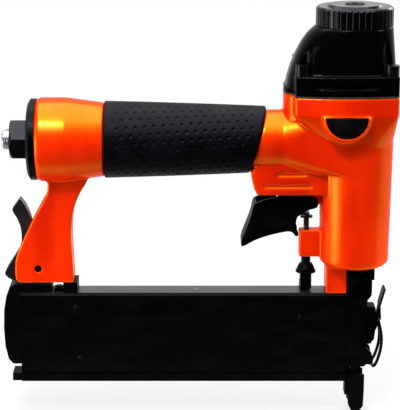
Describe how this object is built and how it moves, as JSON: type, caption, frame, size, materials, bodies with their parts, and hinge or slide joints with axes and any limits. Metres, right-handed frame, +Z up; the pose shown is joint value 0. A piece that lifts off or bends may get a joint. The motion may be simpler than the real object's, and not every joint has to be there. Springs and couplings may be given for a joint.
{
  "type": "pneumatic upholstery stapler",
  "caption": "Air-powered stapler and brad nailer with a cast body, rubber grip, domed cap with turning exhaust, sprung work contact, latched nose door and sliding magazine.",
  "frame": {"origin": "On the drive axis, at the sole of the work contact where the fastener leaves.", "axes": "+X from the handle towards the nose door, +Y across the tool towards the contact arm, +Z up the drive axis towards the cap."},
  "size_m": [0.2497, 0.0623, 0.2672],
  "materials": {
    "body_paint": "glossy orange enamel on die-cast aluminium",
    "cap_paint": "glossy black enamel on die-cast aluminium",
    "deflector_plastic": "moulded black",
    "grip_rubber": "matt, dimpled",
    "bumper_rubber": "moulded",
    "gasket_paper": "oiled gasket paper",
    "black_plastic": "moulded black",
    "black_metal": "satin black coating on steel",
    "dark_steel": "dark, oiled",
    "bright_steel": "bare and bright"
  },
  "bodies": {
    "root": {"main_body": "body_paint", "cylinder_cap": "cap_paint", "grip_sleeve": "grip_rubber", "bumper": "bumper_rubber", "cap_gasket": "gasket_paper", "rear_cap": "black_plastic", "nose_body": "black_metal", "magazine_rail": "black_metal", "rail_bracket": "black_metal", "deflector_screw": "black_metal", "inlet_bushing": "dark_steel", "cap_screws": "dark_steel", "valve_body": "dark_steel", "trigger_pin": "dark_steel", "nose_screws": "dark_steel", "door_pin": "dark_steel", "latch_pin": "dark_steel", "bracket_screws": "dark_steel", "air_plug": "bright_steel", "cylinder_sleeve": "bright_steel"},
    "deflector": {"deflector": "deflector_plastic"},
    "trigger": {"trigger": "black_metal", "trip_lever_pin": "dark_steel"},
    "trip_lever": {"trip_lever": "dark_steel"},
    "valve_stem": {"valve_stem": "bright_steel"},
    "contact": {"contact_rod": "dark_steel", "contact_arm": "black_metal", "contact_foot": "black_metal", "contact_spring": "bright_steel"},
    "depth_wheel": {"depth_wheel": "black_plastic"},
    "driver": {"piston": "bright_steel", "driver_blade": "bright_steel"},
    "head_valve": {"head_valve": "black_plastic", "head_valve_spring": "bright_steel"},
    "nose_door": {"nose_door": "black_metal", "lever_pin": "dark_steel"},
    "latch_lever": {"latch_lever": "black_metal"},
    "latch_bail": {"latch_bail": "dark_steel"},
    "slide": {"magazine_slide": "black_metal", "end_cap": "black_plastic"},
    "pusher": {"pusher": "bright_steel"},
    "magazine_latch": {"magazine_latch": "black_metal"}
  },
  "joints": [
    {"name": "deflector_turn", "type": "hinge", "parent": "root", "child": "deflector", "pos_m": [-0.0012, 0, 0.26], "axis": [0, 0, 1], "continuous": true},
    {"name": "trigger_pull", "type": "hinge", "parent": "root", "child": "trigger", "pos_m": [-0.025, 0, 0.142], "axis": [0, 1, 0], "range_deg": [0, 7], "stiffness_Nm_per_rad": 0.8, "springref_deg": -9.74},
    {"name": "trip_lever_turn", "type": "hinge", "parent": "trigger", "child": "trip_lever", "pos_m": [-0.058, 0, 0.1376], "axis": [0, -1, 0], "range_deg": [0, 10]},
    {"name": "valve_stem_lift", "type": "slide", "parent": "root", "child": "valve_stem", "axis": [0, 0, 1], "range_m": [0, 0.003]},
    {"name": "contact_press", "type": "slide", "parent": "root", "child": "contact", "axis": [0, 0, 1], "range_m": [0, 0.005], "stiffness_N_per_m": 3000, "springref_m": -0.006, "deforming": ["contact_spring"]},
    {"name": "depth_wheel_turn", "type": "hinge", "parent": "contact", "child": "depth_wheel", "pos_m": [-0.0294, 0, 0.097], "axis": [0, 0, 1], "continuous": true},
    {"name": "driver_stroke", "type": "slide", "parent": "root", "child": "driver", "axis": [0, 0, -1], "range_m": [0, 0.07]},
    {"name": "head_valve_lift", "type": "slide", "parent": "root", "child": "head_valve", "axis": [0, 0, 1], "range_m": [0, 0.003], "deforming": ["head_valve_spring"]},
    {"name": "nose_door_swing", "type": "hinge", "parent": "root", "child": "nose_door", "pos_m": [0.006, 0, 0.0765], "axis": [0, -1, 0], "range_deg": [0, 40]},
    {"name": "latch_lever_turn", "type": "hinge", "parent": "nose_door", "child": "latch_lever", "pos_m": [0.0146, 0, 0.0575], "axis": [0, 1, 0], "range_deg": [0, 95]},
    {"name": "latch_bail_turn", "type": "hinge", "parent": "latch_lever", "child": "latch_bail", "pos_m": [0.0176, 0, 0.0635], "axis": [0, 1, 0], "range_deg": [-115, 0]},
    {"name": "magazine_open", "type": "slide", "parent": "root", "child": "slide", "axis": [-1, 0, 0], "range_m": [0, 0.12]},
    {"name": "pusher_travel", "type": "slide", "parent": "root", "child": "pusher", "axis": [1, 0, 0], "range_m": [-0.1, 0.038]},
    {"name": "magazine_latch_turn", "type": "hinge", "parent": "root", "child": "magazine_latch", "pos_m": [-0.201, 0, 0.0983], "axis": [0, 1, 0], "range_deg": [0, 9], "stiffness_Nm_per_rad": 0.6, "springref_deg": -11.46}
  ],
  "couplings": [
    {"joint": "trip_lever_turn", "follows": "contact_press", "rad_per_m": 32.8},
    {"joint": "valve_stem_lift", "follows": "trigger_pull", "m_per_rad": 0.022},
    {"joint": "latch_lever_turn", "follows": "nose_door_swing", "ratio": 2.25},
    {"joint": "latch_bail_turn", "follows": "nose_door_swing", "ratio": -2.75}
  ]
}
